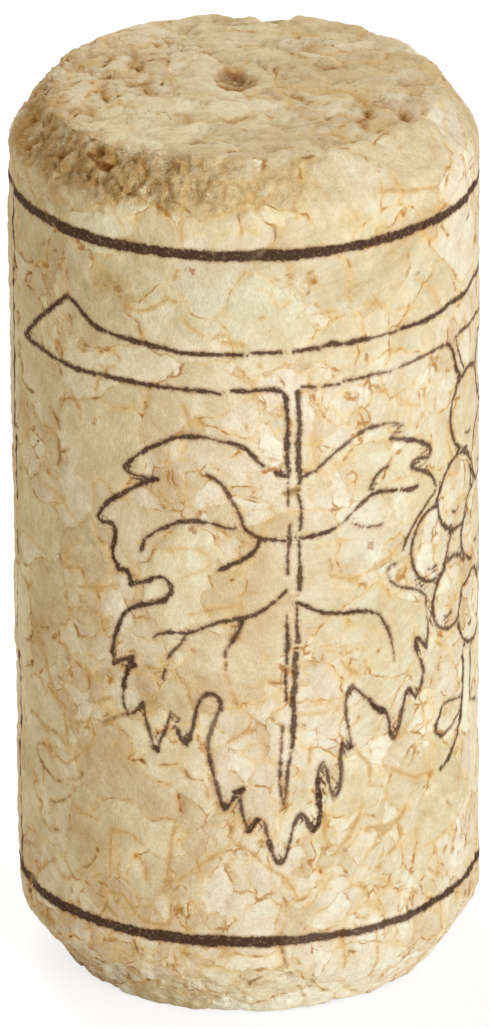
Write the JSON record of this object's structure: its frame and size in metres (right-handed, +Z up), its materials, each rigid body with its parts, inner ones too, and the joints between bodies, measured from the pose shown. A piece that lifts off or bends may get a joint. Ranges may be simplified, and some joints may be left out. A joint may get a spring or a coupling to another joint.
{
  "type": "wine cork",
  "caption": "Straight pressed-granule wine cork with a ground chamfer at each end, torn granule pockets in its skin and line ornament printed round its wall.",
  "frame": {"origin": "middle of the lower end face, the end with the larger chamfer, on which the cork stands", "axes": "+Z up the cork's axis, -Y out of the front of the print, +X to the right of the print seen from the front"},
  "size_m": [0.0222, 0.0222, 0.044],
  "materials": {
    "pressed_cork": "ground matt cork granules with dark brown printed lines"
  },
  "bodies": {
    "root": {"cork": "pressed_cork"}
  },
  "joints": []
}
